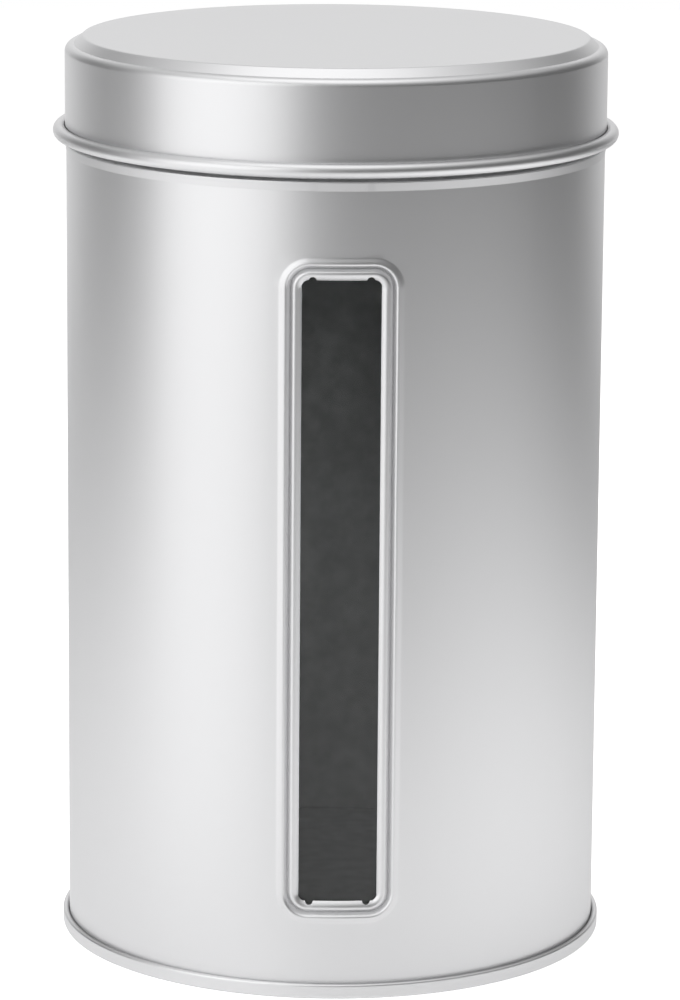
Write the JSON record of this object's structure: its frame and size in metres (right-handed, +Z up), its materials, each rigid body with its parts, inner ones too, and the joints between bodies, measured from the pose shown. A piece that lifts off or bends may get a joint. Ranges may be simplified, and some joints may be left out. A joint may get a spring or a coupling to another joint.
{
  "type": "window lid tin",
  "caption": "Tall round tinplate storage tin with a slip lid and a tall clear window in the wall.",
  "frame": {"origin": "on the tin's axis, level with the foot of its seam ring", "axes": "+Z up along the axis, -Y out through the window, +Y out through the middle of the back"},
  "size_m": [0.1102, 0.1102, 0.1786],
  "materials": {
    "tinplate": "satin tinplate",
    "pane": "clear and glossy",
    "seal": "matt"
  },
  "bodies": {
    "canister": {"body_wall": "tinplate", "bottom_end": "tinplate", "window_pane": "pane", "window_seal": "seal"},
    "lid": {"lid": "tinplate"}
  },
  "joints": [
    {"name": "lid_lift", "type": "slide", "parent": "canister", "child": "lid", "axis": [0, 0, 1], "range_m": [0, 0.04]}
  ]
}
